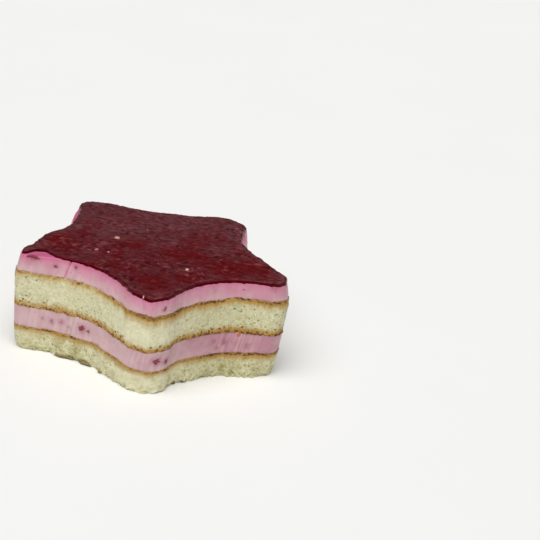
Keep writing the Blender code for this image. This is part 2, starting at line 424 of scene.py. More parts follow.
@dataclass(frozen=True)
class Spot:
    """A place on the cake in the CAD frame and how far it reaches, in millimetres."""

    x: float
    y: float
    z: float
    reach: float
    strength: float = 1.0

    def set_in_side(self) -> "Spot":
        """The same spot, moved onto the cut side nearest to it."""
        place, _ = side_place(self.x, self.y, self.z)
        return replace(self, x=float(place[0]), y=float(place[1]))

    def over(self, points: Array, flatness: float = 1.0) -> Array:
        """How strongly the spot shows at each row of points; flatness under 1 draws it out upright."""
        away = (points - (self.x, self.y, self.z)) * (1.0, 1.0, flatness)
        return self.strength * fade(lengths(away), self.reach)


@dataclass(frozen=True)
class Scratch:
    """A straight mark on the cut side between two places, how wide, how deep and how juicy it is."""

    start: tuple[float, float, float]
    end: tuple[float, float, float]
    width: float
    depth: float
    juice: float = 0.5
    upright_pull: float = 0.3

    def over(self, points: Array) -> Array:
        """How deep the mark is.

        Args:
            points: rows of x, y and z.

        Returns:
            The depth at each row.
        """
        start, _ = side_place(*self.start)
        end, _ = side_place(*self.end)
        run = end - start
        share = np.clip((points - start) @ run / (run @ run), 0.0, 1.0)
        away = (points - start - share[:, None] * run) * (1.0, self.upright_pull, 1.0)
        return self.depth * fade(lengths(away), self.width)


CLOSE_CRUMB = Spot(-2.0, -42.0, 26.0, 20.0, 0.6)
FINE_CRUMB = Spot(2.0, -46.0, 26.0, 17.0, 0.32)
UNDOTTED_TIP = Spot(-2.0, -44.0, 20.0, 15.0)
CRUSTED_TIP = Spot(3.2, -49.0, 0.0, 14.0)
DOTTED = Spot(28.0, -21.0, 20.0, 11.0, 0.7)
WORN_FOOT = (
    Spot(49.5, -10.0, 0.0, 7.0, 0.3),
    Spot(45.5, -18.7, 0.0, 4.5, 1.8),
    Spot(-50.0, -17.0, 0.0, 4.5, 0.4),
)
# Olive smudging on the lower sponge's foot, partly painted shadow: the first lies in the shadow beside a step in the
# left foot.
FOOT_SMUDGES_AND_SHADOW = (
    Spot(-24.5, -22.0, 4.5, 2.4, 0.9),
    Spot(-33.0, -21.0, 5.0, 2.0, 0.6),
    Spot(-44.0, -19.0, 2.0, 2.5, 0.45),
    Spot(29.5, -20.5, 4.5, 2.0, 1.0),
    Spot(33.5, -20.0, 2.5, 3.0, 0.7),
    Spot(24.0, -23.0, 1.5, 3.0, 0.6),
    Spot(42.0, -17.0, 4.0, 3.0, 0.5),
)
STREAKED_LOWER = (
    Spot(-27.0, -21.0, 15.0, 8.0, 0.8),
    Spot(34.0, -21.0, 15.0, 7.0, 1.5),
    Spot(3.0, -46.0, 14.0, 9.0, 0.6),
)
KNIFE_MARKS = (
    Scratch((-30.2, -19.9, 39.4), (-32.5, -20.7, 31.2), 0.32, 0.4),
    Scratch((-0.6, -44.0, 38.0), (0.2, -45.1, 32.6), 0.3, 0.3, 0.1),
)
UPPER_SWELLINGS = (
    Spot(-48.4, -19.0, 38.0, 2.6, 0.7),
    Spot(-36.0, 27.0, 36.0, 7.0, 1.6),
    Spot(33.0, 25.0, 36.0, 6.0, 1.5),
)
LOWER_STAINS = (
    Spot(-23.7, -23.3, 14.7, 2.0, 0.9),
    Spot(-20.6, -24.0, 14.2, 1.3, 0.6),
    Spot(6.7, -43.2, 14.1, 1.9, 0.9),
    Spot(9.6, -40.5, 13.4, 1.7, 0.9),
    Spot(-35.6, -19.5, 13.8, 1.2, 0.8),
    Spot(-32.0, -20.2, 14.6, 1.4, 0.75),
    Spot(-28.5, -21.0, 13.2, 1.2, 0.5),
    Spot(-39.5, -19.0, 14.4, 1.1, 0.45),
    Spot(24.0, -21.5, 15.5, 1.3, 0.55),
    Spot(29.0, -20.5, 15.0, 1.5, 0.65),
    Spot(38.0, -20.0, 13.8, 1.4, 0.7),
    Spot(26.0, -21.0, 12.8, 1.0, 0.6),
)
UPPER_STAINS = (
    Spot(-44.1, -18.7, 38.6, 2.2, 0.6),
    Spot(-36.0, -19.5, 36.2, 1.1, 0.7),
    Spot(-28.1, -20.9, 37.5, 0.9, 0.7),
    Spot(45.5, -18.0, 37.6, 1.6, 0.6),
    Spot(7.3, -43.3, 34.9, 1.2, 0.9),
    Spot(22.0, -22.0, 37.0, 1.6, 0.35),
)
TIP_EDGE = (
    Spot(-48.4, -19.0, 40.0, 2.4, 0.9),
    Spot(-46.5, -13.0, 40.0, 3.0, -0.7),
)
CLEAR_SPOTS = (
    Spot(39.7, -3.8, 40.0, 9.0),
    Spot(26.2, -10.4, 40.0, 9.0, 0.8),
    Spot(-41.1, -2.1, 40.0, 8.0),
    Spot(7.0, -2.0, 40.0, 6.0, 0.9),
    Spot(-6.0, 4.0, 40.0, 4.0, 0.5),
    Spot(1.0, -31.0, 40.0, 7.0, 0.6),
)


# The layers.


@dataclass
class Loft:
    """What a layer's mesh is moulded from: for every station of every loop, its place and what lies round it."""

    plan: Array  # x and y from the star's own middle
    height: Array
    normal: Array  # the way in which the side faces
    ring: Array  # 1 on the cut side, towards 0 in the middle
    level: Array  # 0 at the seam under the layer, 1 at the seam over it
    above: Array  # the distance from the seam under the layer
    below: Array  # the distance from the seam over it
    arc: Array  # the distance walked along the outline

    @property
    def points(self) -> Array:
        """Rows of x, y and z in the CAD frame."""
        return np.column_stack([self.plan - MIDDLE, self.height])

    @property
    def on_side(self) -> Array:
        """1 on the cut side and 0 on a face that another layer hides."""
        return (self.ring >= 1.0).astype(float)


@dataclass
class Layer:
    """One layer of the cake, from the seam under it to the seam over it."""

    name: str
    under: Seam
    over: Seam
    slot: Slot
    around: int
    levels: int
    hidden_rings: tuple[float, ...] = (0.96, 0.75, 0.4)
    top_rings: tuple[float, ...] = (0.96, 0.75, 0.4)
    cragged: tuple[Lumps, ...] = (Lumps(1.0, 4.6, 3.0), Lumps(0.95, 1.25, 9.0))

    @property
    def depth(self) -> float:
        """The layer's plain thickness."""
        return self.over.height - self.under.height

    def profile(self) -> Array:
        """The ring and level of each loop, from the middle of the underside round to the middle of the top."""
        below = [(ring, 0.0) for ring in reversed(self.hidden_rings)]
        side = [(1.0, level) for level in np.linspace(0.0, 1.0, self.levels)]
        above = [(ring, 1.0) for ring in self.top_rings]
        return np.array(below + side + above)

    def loft(self) -> Loft:
        """Lay out every station of every loop at its plain place.

        Returns:
            The loft, one loop after the other.
        """
        profile = self.profile()
        outline = FORM.outline(self.around)
        ahead = np.roll(outline, -1, axis=0) - np.roll(outline, 1, axis=0)
        normal = np.stack([ahead[:, 1], -ahead[:, 0]], axis=1)
        normal /= lengths(normal)[:, None]
        length = lengths(np.roll(outline, -1, axis=0) - outline).sum()
        ring = np.repeat(profile[:, 0], self.around)
        level = np.repeat(profile[:, 1], self.around)
        stations = np.tile(outline, (len(profile), 1))
        plan = FORM.side(stations, self.under.height + level * self.depth) * ring[:, None]
        low = FORM.seam(self.under, plan) + self.crags(self.under, plan, ring)
        high = FORM.seam(self.over, plan) + self.crags(self.over, plan, ring)
        height = low + level * (high - low)
        arc = np.tile(np.arange(self.around) * length / self.around, len(profile))
        normals = np.tile(normal, (len(profile), 1))
        return Loft(plan, height, normals, ring, level, height - low, high - height, arc)

    def crags(self, seam: Seam, plan: Array, ring: Array) -> Array:
        """How far a baked face stands up and down along its cut edge, the same for the layers that share it."""
        if not seam.crag_height:
            return np.zeros(len(plan))
        return seam.crag_height * total(self.cragged, at_height(plan, seam.height)) * smooth(0.9, 1.0, ring)

    def relief(self, loft: Loft) -> Array:
        """How far each point stands out from the plain side."""
        return np.zeros(len(loft.ring))

    def lift(self, loft: Loft) -> Array:
        """How far each point is lifted."""
        return np.zeros(len(loft.ring))

    def colour_fields(self, loft: Loft) -> dict[str, Array]:
        """The values that the layer's finish reads at each point, by attribute."""
        return {}

    def add_drum(self) -> bpy.types.Object:
        """Add a drum with one loop for each step of the profile and a pole at each end.

        Returns:
            The drum, of the layer's height and the star's reach, standing at the layer's place.
        """
        depth = self.depth * MM
        bpy.ops.object.select_all(action="DESELECT")
        bpy.ops.mesh.primitive_cylinder_add(
            vertices=self.around,
            radius=FORM.right_tip.reach * MM,
            depth=depth,
            end_fill_type="NGON",
            location=(0, 0, self.under.height * MM + depth / 2),
        )
        drum = bpy.context.object
        drum.name = self.name
        drum.data.name = self.name
        bpy.ops.object.mode_set(mode="EDIT")
        bpy.ops.mesh.select_mode(type="EDGE")
        bpy.ops.mesh.select_all(action="DESELECT")
        mesh = bmesh.from_edit_mesh(drum.data)
        for edge in mesh.edges:
            start, end = edge.verts
            edge.select_set(abs(start.co.z - end.co.z) > depth / 2)
        bmesh.update_edit_mesh(drum.data)
        bpy.ops.mesh.subdivide(number_cuts=len(self.profile()) - 2)
        bpy.ops.mesh.select_mode(type="FACE")
        bpy.ops.mesh.select_all(action="DESELECT")
        mesh = bmesh.from_edit_mesh(drum.data)
        for face in mesh.faces:
            face.select_set(len(face.verts) == self.around)
        bmesh.update_edit_mesh(drum.data)
        bpy.ops.mesh.poke()
        bpy.ops.object.mode_set(mode="OBJECT")
        bpy.ops.object.transform_apply(location=True, rotation=True, scale=True)
        return drum

    def mould(self, drum: bpy.types.Object) -> None:
        """Move every point of the drum to its place in the star and note what its finish reads.

        Args:
            drum: the layer's drum.
        """
        loft = self.loft()
        out = (self.relief(loft) * loft.on_side)[:, None] * loft.normal
        places = np.column_stack([loft.plan + out - MIDDLE, loft.height + self.lift(loft)]) * MM
        corners = np.empty(len(drum.data.vertices) * 3)
        drum.data.vertices.foreach_get("co", corners)
        corners = corners.reshape(-1, 3)
        turned = np.arctan2(corners[:, 1], corners[:, 0]) / math.tau
        raised = (corners[:, 2] / MM - self.under.height) / self.depth
        station = np.rint(turned * self.around).astype(int)
        step = np.rint(raised * (len(self.profile()) - 1)).astype(int)
        index = step * self.around + station % self.around
        moved = places[index]
        poles = lengths(corners[:, :2]) < MM
        for pole in np.flatnonzero(poles):
            loop = places[step[pole] * self.around : (step[pole] + 1) * self.around]
            moved[pole] = loop.mean(axis=0)
        drum.data.vertices.foreach_set("co", moved.ravel())
        for name, values in self.colour_fields(loft).items():
            field = drum.data.attributes.new(name, "FLOAT", "POINT")
            field.data.foreach_set("value", values[index])
        drum.data.update()

    def build(self, finish: bpy.types.Material) -> None:
        """Model the layer, dress it and hide the CAD part of the same name."""
        piece = self.add_drum()
        self.mould(piece)
        fit_out(piece, finish)
        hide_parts(self.name)


@dataclass
class SpongeSheet(Layer):
    """A sheet of baked sponge: open crumb between browned faces.

    A height in a step is measured from the face under the sheet, and a depth from the face over it.
    """

    slot: Slot = Slot.SPONGE
    around: int = 1440
    levels: int = 56
    browned_under: bool = True
    crumb_draw: float = 0.0
    tip_crust: float = 0.0
    # the browned faces
    browning: Shares = ((-50.0, 0.4), (-22.0, 0.32), (-12.0, 0.55), (3.0, 0.7), (25.0, 0.8))
    under_browning: Shares = ((-50.0, 0.6), (0.0, 0.65), (10.0, 0.75), (25.0, 0.85))
    baked: Lumps = Lumps(0.2, 6.0, 4.0)
    baked_under: Lumps = Lumps(0.15, 5.0, 4.0)
    crust_wave: Lumps = Lumps(0.35, 4.5)
    crust_fray: Lumps = Lumps(0.3, 1.3, 2.0)
    thin_crust: tuple[Lumps, ...] = (Lumps(0.3, 1.2, 12.0), Lumps(0.2, 5.0, 15.0))
    beads: tuple[Lumps, ...] = (Lumps(0.5, 0.9, 7.0), Lumps(0.25, 2.0, 3.0))
    beads_under: Lumps = Lumps(0.75, 0.85, 21.0)
    tip_smoothness: float = 0.75
    tip_darkness: float = 0.14
    least_crust: float = 0.5
    crust_end: Step = (1.6, 0.7)  # in thicknesses of the crust
    least_fringe: float = 0.13
    fringe: float = 0.54
    crust_proud: float = 0.22
    crust_crags: Lumps = Lumps(0.3, 1.5, 17.0)
    crust_relief: float = 0.8
    # the crumb and its pores
    crumb_lumps: Lumps = Lumps(0.2, 2.6)
    grain: Lumps = Lumps(0.1, 0.9, 8.0)
    openness: float = 0.4
    open_patches: Lumps = Lumps(0.7, 14.0, 5.0)
    open_below: float = 0.3
    open_height: Step = (8.0, 1.0)
    pored_depth: Step = (0.4, 1.2)
    pore_share: float = 0.4
    pore_size: float = 1.3
    pore_depth: float = 0.4
    small_pore_share: float = 1.3
    small_pore_size: float = 0.85
    small_pore_depth: float = 0.25
    small_pore_draw: float = 31.0
    # the row of pores and the brown dots over a browned underside
    row_share: float = 0.75
    row_height: Step = (5.0, 0.8)
    row_pore_size: float = 1.05
    row_draw: float = 63.0
    row_patches: Lumps = Lumps(1.0, 9.0, 44.0)
    dot_share: float = 0.4
    dot_height: Step = (3.4, 0.9)
    dot_size: float = 1.2
    dot_draw: float = 71.0
    dot_patches: Lumps = Lumps(1.0, 9.0, 29.0)
    # the torn foot, and where the crumb is olive: smudging, painted shadow and painted shade
    foot_wear: float = 0.1
    foot_chips: tuple[Lumps, ...] = (Lumps(1.2, 5.0), Lumps(1.0, 1.7, 5.0), Lumps(0.5, 0.8, 7.0))
    foot_height: float = 2.6
    worn_height: float = 8.0
    smudge_fray: Lumps = Lumps(0.9, 1.2, 5.0)
    ragged_foot: Lumps = Lumps(1.0, 2.2, 50.0)
    ragged_height: Step = (1.6, 0.4)
    dull_patches: Lumps = Lumps(1.0, 2.6, 77.0)
    shade: float = 0.19
    shade_left: Step = (12.0, 22.0)
    shade_right: Step = (42.0, 34.0)

    def porosity(self, loft: Loft) -> Array:
        """How open the crumb is at each point, from 0 to 1: in patches, more so low down and less at the tip."""
        points = loft.points
        patches = self.openness + self.open_patches.over(points, self.crumb_draw)
        lower = self.open_below * smooth(*self.open_height, loft.above)
        return np.clip(patches + lower - CLOSE_CRUMB.over(points, 0.3), 0.03, 0.9)

    def pore_fields(self, loft: Loft) -> tuple[Array, Array]:
        """Lay out the pores of the cut side, with a row of them over a browned underside.

        Args:
            loft: the sheet's loft.

        Returns:
            How deep each point is in a large pore and in a small one, each from 0 to 1.
        """
        points = loft.points
        share = self.porosity(loft)
        clear = smooth(*self.pored_depth, loft.below) * (1 - 2 * FINE_CRUMB.over(points, 0.5))
        large = pits(points, self.pore_size, share * self.pore_share, self.crumb_draw) * clear
        if self.browned_under:
            held = self.row_share * smooth(*self.row_height, loft.above)
            held = held * smooth(-0.5, 0.3, self.row_patches.over(points))
            held = held * smooth(0.9, 0.1, UNDOTTED_TIP.over(points, 0.2))
            large = np.maximum(large, pits(points, self.row_pore_size, held, self.row_draw) * clear)
        draw = self.crumb_draw + self.small_pore_draw
        small = pits(points, self.small_pore_size, share * self.small_pore_share, draw) * clear
        return large, small

    def crust_line(self, away: Array, thick: Array, browning: Array, beads: Array) -> Array:
        """How browned the crumb is below or above one baked face.

        Args:
            away: the distance from the face.
            thick: the thickness of the crust.
            browning: how strongly that side was baked, from 0 to 1.
            beads: how much darker or lighter the crust's own beads are.

        Returns:
            A value from 0, plain crumb, to 1, dark crust, for each point.
        """
        core = (browning + beads) * smooth(*self.crust_end, away / thick)
        fringe = (self.least_fringe + self.fringe * browning) * fade(away, 0.7 + 2.2 * thick)
        return np.maximum(core, fringe)

    def under_crust(self, loft: Loft) -> Array:
        """How browned each point is over a baked underside: its thin crust, and the brown dots above that."""
        points = loft.points
        along = at_height(points, self.under.height)
        thick = np.maximum(0.85 + total(self.thin_crust, along), self.least_crust)
        browning = np.interp(points[:, 0], *zip(*self.under_browning)) + self.baked_under.over(along)
        line = self.crust_line(loft.above, thick, browning, self.beads_under.over(points))
        dense = self.dot_share + 0.5 * smooth(-0.3, 0.4, self.dot_patches.over(along)) + DOTTED.over(points, 0.3)
        dots = pits(points, self.dot_size, dense * smooth(*self.dot_height, loft.above), self.dot_draw)
        return np.maximum(line, np.minimum(1.5 * dots, 1.0) * smooth(0.0, 0.5, loft.above))

    def crust_fields(self, loft: Loft) -> Array:
        """How browned each point is, from 0 to 1; at the front tip the crust may be thicker and smoother."""
        points = loft.points
        along = at_height(points, self.over.height)
        extra = self.tip_crust * CRUSTED_TIP.over(along, 0.0)
        thick = 1.0 + self.crust_wave.over(along, self.crumb_draw) + self.crust_fray.over(along)
        thick = np.maximum(thick, self.least_crust) + extra
        browning = np.interp(points[:, 0], *zip(*self.browning)) + self.baked.over(along)
        beads = (1 - self.tip_smoothness * extra) * total(self.beads, points) + self.tip_darkness * extra
        browned = self.crust_line(loft.below, thick, browning, beads)
        if self.browned_under:
            browned = np.maximum(browned, self.under_crust(loft))
        return browned * loft.on_side

    def relief(self, loft: Loft) -> Array:
        """Crust lines stand a little proud, and the crumb between them is lumpy and pitted."""
        points = loft.points
        large, small = self.pore_fields(loft)
        near = np.exp(-loft.below / self.crust_relief)
        if self.browned_under:
            near = np.maximum(near, np.exp(-loft.above / self.crust_relief))
        crumb = self.crumb_lumps.over(points, self.crumb_draw) + self.grain.over(points)
        crags = near * (self.crust_proud + self.crust_crags.over(points))
        return crumb + crags - self.pore_depth * large - self.small_pore_depth * small - self.wear(loft)

    def wear(self, loft: Loft) -> Array:
        """How far the crumb is worn back where it stands on the board."""
        if self.under is not BOARD:
            return np.zeros(len(loft.ring))
        points = loft.points
        torn = self.foot_wear + total(self.foot_chips, points)
        worn = sum(spot.over(points, 0.0) for spot in WORN_FOOT)
        near_board = np.clip(1 - loft.height / self.foot_height, 0.0, 1.0)
        return near_board * torn + np.clip(1 - loft.height / self.worn_height, 0.0, 1.0) * worn

    def smudges_and_shade(self, loft: Loft) -> Array:
        """How olive the crumb is, from 0 to 1: olive smudging at the foot, part of it painted shadow, darker ragged
        patches just over the board, and painted shade on the right arm.
        """
        points = loft.points
        shaded = smooth(*self.shade_left, points[:, 0]) * smooth(*self.shade_right, points[:, 0])
        darkened = self.shade * shaded * smooth(*FRONT, points[:, 1])
        if self.under is BOARD:
            fray = 0.9 + self.smudge_fray.over(points)
            # olive smudging at the foot, partly painted shadow
            for smudge_and_shade in FOOT_SMUDGES_AND_SHADOW:
                darkened = np.maximum(darkened, smudge_and_shade.set_in_side().over(points, 0.6) * fray)
            # darker in ragged patches just over the board
            ragged = smooth(-0.1, 0.4, self.ragged_foot.over(points)) * smooth(*self.ragged_height, loft.height)
            dull = smooth(0.0, 0.6, self.dull_patches.over(points))
            darkened = np.maximum(darkened, np.maximum(0.6 * ragged, 0.45 * dull))
        return np.clip(darkened, 0, 1) * loft.on_side

    def colour_fields(self, loft: Loft) -> dict[str, Array]:
        """Where the crumb is fine, browned, painted with the shade that lies deep in a pore, and olive with smudging
        and painted shade.
        """
        large, small = self.pore_fields(loft)
        return {
            "fine": FINE_CRUMB.over(loft.points, 0.5),
            "toast": self.crust_fields(loft),
            # painted shade: the pores are coloured with the shade that lies deep in them
            "pore_shade": np.maximum(large, 0.8 * small),
            "smudge_and_shade": self.smudges_and_shade(loft),
        }


@dataclass
class MousseLayer(Layer):
    """A layer of set berry mousse, cut clean by the cutter."""

    slot: Slot = Slot.MOUSSE
    around: int = 1200
    levels: int = 30
    waves: Lumps = Lumps(0.25, 6.0)
    dimples: Lumps = Lumps(0.05, 1.8, 6.0)
    streak_depth: float = 0.07
    streak_lean: float = 0.15
    streak_length: float = 14.0
    streak_lines: tuple[Lumps, ...] = (Lumps(1.0, 1.0, 1.0), Lumps(0.6, 0.55, 2.0))
    streaked: tuple[Spot, ...] = ()
    scratches: tuple[Scratch, ...] = ()
    swollen: tuple[Spot, ...] = ()
    stains: tuple[Spot, ...] = ()
    stain_fray: Lumps = Lumps(0.7, 0.7, 3.0)
    juice_depth: float = 0.0
    juice_strength: float = 0.68
    juice_end: Step = (2.4, 1.1)  # in depths of the juice
    juicy_left: Step = (5.0, -15.0)
    juice_fray: tuple[Lumps, ...] = (Lumps(0.5, 5.0, 3.0), Lumps(0.35, 2.0, 13.0))
    rosy_left: float = 0.15
    # painted shade: the mousse's right arm is darker pink
    right_arm_shade: float = 0.6
    right_arm_shade_from: Step = (0.0, 24.0)
    rosy_patches: tuple[Lumps, ...] = (Lumps(0.4, 7.0, 23.0), Lumps(0.2, 2.2, 27.0))

    def streaks(self, loft: Loft) -> Array:
        """Fine upright lines that the cutter drew, from -1 to 1, strong only where it dragged."""
        leant = loft.arc - self.streak_lean * loft.height
        upright = np.column_stack([leant, np.zeros(len(leant)), loft.height / self.streak_length])
        dragged = 0.25 + sum(spot.over(loft.points) for spot in self.streaked)
        return total(self.streak_lines, upright) * np.clip(dragged, 0, 1.6)

    def relief(self, loft: Loft) -> Array:
        """Shallow upright waves, finer cutter lines and the marks that the knife left."""
        points = loft.points
        out = self.waves.over(at_height(points, 0.0)) + self.dimples.over(points)
        out = out + self.streak_depth * self.streaks(loft)
        marked = sum(mark.over(points) for mark in self.scratches)
        return out - marked + sum(swelling.over(points) for swelling in self.swollen)

    def juice(self, loft: Loft) -> Array:
        """How juicy the mousse is, from 0 to 1: where the glaze has soaked in, and along the knife marks."""
        points = loft.points
        juice = np.zeros(len(points))
        if self.juice_depth:
            soaked = loft.below / (self.juice_depth * (1 + total(self.juice_fray, points)))
            juice = self.juice_strength * np.exp(-soaked) * smooth(*self.juice_end, soaked)
            juice = juice * (1 + 0.25 * smooth(*self.juicy_left, points[:, 0]))
        for mark in self.scratches:
            juice = np.clip(juice + mark.juice * mark.over(points) / mark.depth, 0, 1)
        return juice

    def colour_fields(self, loft: Loft) -> dict[str, Array]:
        """Where the mousse is juicy, where painted light and shade follow the cutter lines, where it is stained by
        fruit, and how rosy it is in patches, with painted shade on the right arm.
        """
        points = loft.points
        pulp = np.zeros(len(points))
        fray = 0.75 + self.stain_fray.over(points)
        for stain in self.stains:
            pulp = np.maximum(pulp, stain.set_in_side().over(points) * fray)
        # painted shade on the right arm, over a rosy tone in patches
        right = smooth(*self.right_arm_shade_from, points[:, 0]) * smooth(*FRONT, points[:, 1])
        rosy_and_shade = self.rosy_left + self.right_arm_shade * right + total(self.rosy_patches, points)
        return {
            "juice": self.juice(loft),
            # painted light and shade: the colour follows the cutter lines' relief, lighter on the ridges and darker
            # in the grooves
            "streak_shading": 0.5 + 0.5 * np.clip(self.streaks(loft), -1, 1),
            "pulp": np.clip(pulp, 0, 1),
            "rosy_and_shade": np.clip(rosy_and_shade, 0, 1),
        }


@dataclass
class BerryGlaze(Layer):
    """The set berry jelly over the whole top, with low ripples and a rounded rim."""

    slot: Slot = Slot.GLAZE
    around: int = 1000
    levels: int = 12
    hidden_rings: tuple[float, ...] = (0.97, 0.8, 0.4)
    top_rings: tuple[float, ...] = tuple(0.985 - 0.965 * step / 74 for step in range(75))
    rim_rounding: float = 0.4
    rounding_start: float = 0.5
    lip: tuple[Lumps, ...] = (Lumps(0.35, 6.0), Lumps(0.35, 1.8, 4.0))
    rim_fray: Lumps = Lumps(0.3, 2.0, 14.0)
    ripple_depth: float = 0.26
    ripple_size: tuple[float, float, float] = (2.5, 2.0, 4.0)
    ripple_bend: float = 2.5
    ripple_bends: tuple[Lumps, Lumps] = (Lumps(1.0, 7.0, 2.0), Lumps(1.0, 7.0, 6.0))
    creases: Lumps = Lumps(2.0, 1.0)
    folds: tuple[Lumps, ...] = (Lumps(0.8, 1.0, 33.0), Lumps(0.45, 0.5, 5.0))
    uneven_folds: Lumps = Lumps(0.6, 11.0, 9.0)
    rim_calm: float = 0.45
    rim_power: int = 14
    bared_place: tuple[float, float] = (-42.6, -19.8)
    bared_way: tuple[float, float] = (0.15, 0.99)
    bared_from: Step = (-50.0, -45.5)
    bared_reach: float = 5.0
    bared_depth: float = 5.4
    clear_share: float = 0.75
    clear_patches: tuple[Lumps, ...] = (Lumps(1.0, 9.0, 1.0), Lumps(0.4, 4.0, 8.0))
    clear_front: Step = (38.0, 16.0)
    clear_left: Step = (49.0, 42.0)
    # painted sheen: grey over the top where reflected light would lie
    painted_sheen: float = 0.36
    sheen_patches: Lumps = Lumps(0.3, 6.0, 19.0)
    sheen_rear: Step = (-15.0, 35.0)
    sheen_left: Step = (-36.0, -48.0)
    sheen_right: Step = (41.0, 47.0)
    edge_rings: Step = (0.84, 0.99)

    def loft(self) -> Loft:
        """Lay the glaze out with its rim drawn back at the left tip, where the mousse lies bare.

        Returns:
            The loft, one loop after the other.
        """
        loft = super().loft()
        place = loft.plan - MIDDLE
        drawn = self.bared_depth * fade(lengths(place - self.bared_place), self.bared_reach)
        drawn = drawn * smooth(*self.bared_from, place[:, 0])
        return replace(loft, plan=loft.plan + drawn[:, None] * self.bared_way)

    def relief(self, loft: Loft) -> Array:
        """The glaze laps unevenly over the mousse and rounds in to its top."""
        rounded = np.clip((loft.level - self.rounding_start) / (1 - self.rounding_start), 0.0, 1.0)
        lip = total(self.lip, at_height(loft.points, 0.0))
        lip = lip + sum(spot.over(loft.points, 0.2) for spot in TIP_EDGE)
        return lip - self.rim_rounding * (1 - np.sqrt(1 - rounded**2))

    def ripples(self, loft: Loft) -> Array:
        """The creased skin of the set jelly, from about -1 in a crease to 1 on a fold."""
        points = loft.points
        bends = [bend.over(points) for bend in self.ripple_bends]
        bent = points + self.ripple_bend * np.column_stack([*bends, np.zeros(len(points))])
        drawn = bent / self.ripple_size
        skin = 0.6 - np.abs(self.creases.over(drawn)) + total(self.folds, drawn)
        return skin * (0.8 + self.uneven_folds.over(points))

    def lift(self, loft: Loft) -> Array:
        """Low ripples lie over the top, and the lower edge of the rim is frayed."""
        top = smooth(0.5, 1.0, loft.level) * (1 - self.rim_calm * loft.ring**self.rim_power)
        frayed = self.rim_fray.over(loft.points) * smooth(0.5, 0.0, loft.level) * loft.on_side
        return self.ripple_depth * self.ripples(loft) * top + frayed

    def colour_fields(self, loft: Loft) -> dict[str, Array]:
        """Where the jelly is clear and red, greyed by painted sheen that is strongest at the back, darkened by
        painted shade on its side band, and the ripple shape that places painted shade in the creases and painted
        highlights on the folds.
        """
        points = loft.points
        x, y = points[:, 0], points[:, 1]
        clear = self.clear_share * smooth(-0.1, 0.6, total(self.clear_patches, points)) * smooth(*self.clear_front, y)
        for spot in CLEAR_SPOTS:
            clear = np.maximum(clear, spot.over(points, 0.2))
        edge = smooth(*self.edge_rings, loft.ring)
        clear = clear * (1 - 0.6 * edge) * smooth(*self.clear_left, x)
        # painted sheen: grey haze for reflected light, strongest at the back and the edge, less where the jelly is
        # clear
        painted_sheen = self.painted_sheen + self.sheen_patches.over(points) + 0.25 * edge - 0.8 * clear
        painted_sheen = painted_sheen + 0.85 * smooth(*self.sheen_rear, y)
        painted_sheen = painted_sheen + 0.5 * smooth(*self.sheen_left, x) + 0.3 * smooth(*self.sheen_right, x)
        return {
            "clear": clear,
            "painted_sheen": np.clip(painted_sheen, 0, 1),
            # painted shade: the glaze's side band is darker than its top, where the side takes no reflection
            "rim_shade": loft.on_side * smooth(1.0, 0.6, loft.level),
            "ripple_shading": np.clip(0.5 + 0.5 * self.ripples(loft), 0, 1),
        }


# The finishes. Each says in its first line what it gives the eye.


@dataclass(frozen=True)
class Finish:
    """What every finish has: a name, a roughness, how light travels in it and the tint of its highlight."""

    name: str
    roughness: float
    ior: float = 1.45
    bleed: float = 0.0
    bleed_reach: float = 1.0
    bleed_colours: tuple[float, float, float] = (1.0, 0.6, 0.45)
    edge_glint: str = "FFFFFF"

    def make(self) -> bpy.types.Material:
        """Build the material.

        Returns:
            The material, with its even values set, and the coats and bump that paint() gives.
        """
        made = bpy.data.materials.new(self.name)
        made.use_nodes = True
        tree = made.node_tree
        shader = tree.nodes["Principled BSDF"]
        shader.inputs["Roughness"].default_value = self.roughness
        shader.inputs["IOR"].default_value = self.ior
        shader.inputs["Subsurface Weight"].default_value = self.bleed
        shader.inputs["Subsurface Radius"].default_value = self.bleed_colours
        shader.inputs["Subsurface Scale"].default_value = self.bleed_reach * MM
        shader.inputs["Specular Tint"].default_value = linear(self.edge_glint)
        colour, coats, bump = self.paint(tree, add_node(tree, "TexCoord", out="Object"))
        for share, coat in coats:
            mixed = {0: share, MIX_A: colour, MIX_B: linear(coat)}
            colour = add_node(tree, "Mix", mixed, MIX_RESULT, data_type="RGBA")
        tree.links.new(colour, shader.inputs["Base Color"])
        if bump:
            tree.links.new(bump, shader.inputs["Normal"])
        return made

    def paint(self, tree: Tree, place: Socket) -> Painted:
        """Add the nodes of the finish.

        Args:
            tree: the material's tree.
            place: the object coordinates, in metres.

        Returns:
            The colour to begin with, the coats over it, and the bump where the finish has one.
        """
        raise NotImplementedError


